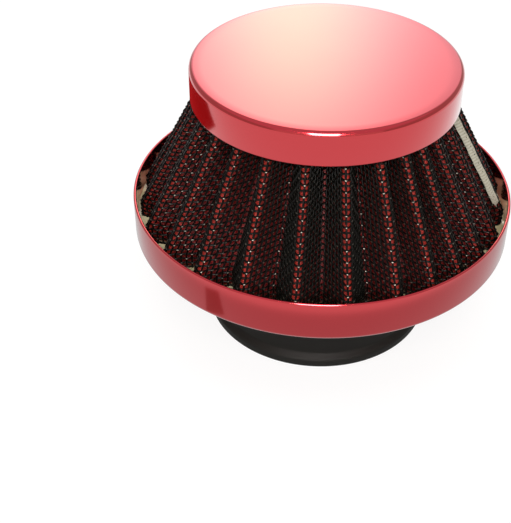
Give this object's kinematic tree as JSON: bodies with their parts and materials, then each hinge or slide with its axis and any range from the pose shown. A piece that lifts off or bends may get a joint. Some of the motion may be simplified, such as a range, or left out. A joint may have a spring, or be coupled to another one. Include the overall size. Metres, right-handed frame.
{
  "type": "clamp-on pod air filter",
  "caption": "Tapered pod air filter: pleated wire and gauze cone potted between a small top cap and a wide base dish, on a rubber neck that clamps over an inlet spigot.",
  "frame": {"origin": "centre of the neck's lower face, on the filter's axis, which is the plane the filter stands on", "axes": "+Z along the filter's axis, from the neck up to the cap; -Y towards the front of the seam's numbering, with the seam near +X"},
  "size_m": [0.1, 0.1, 0.075],
  "materials": {
    "red_metal": "satin",
    "cream_resin": "gloss",
    "black_wire": "gloss",
    "red_gauze": "satin",
    "bare_wire": "satin",
    "strip_metal": "satin",
    "black_rubber": "matte"
  },
  "bodies": {
    "root": {"top_cap": "red_metal", "top_potting": "cream_resin", "outer_screen": "black_wire", "outer_gauze_ply": "red_gauze", "inner_gauze_ply": "red_gauze", "inner_screen": "bare_wire", "seam_strip": "strip_metal", "base_potting": "cream_resin", "base_dish": "red_metal", "neck": "black_rubber"}
  },
  "joints": []
}
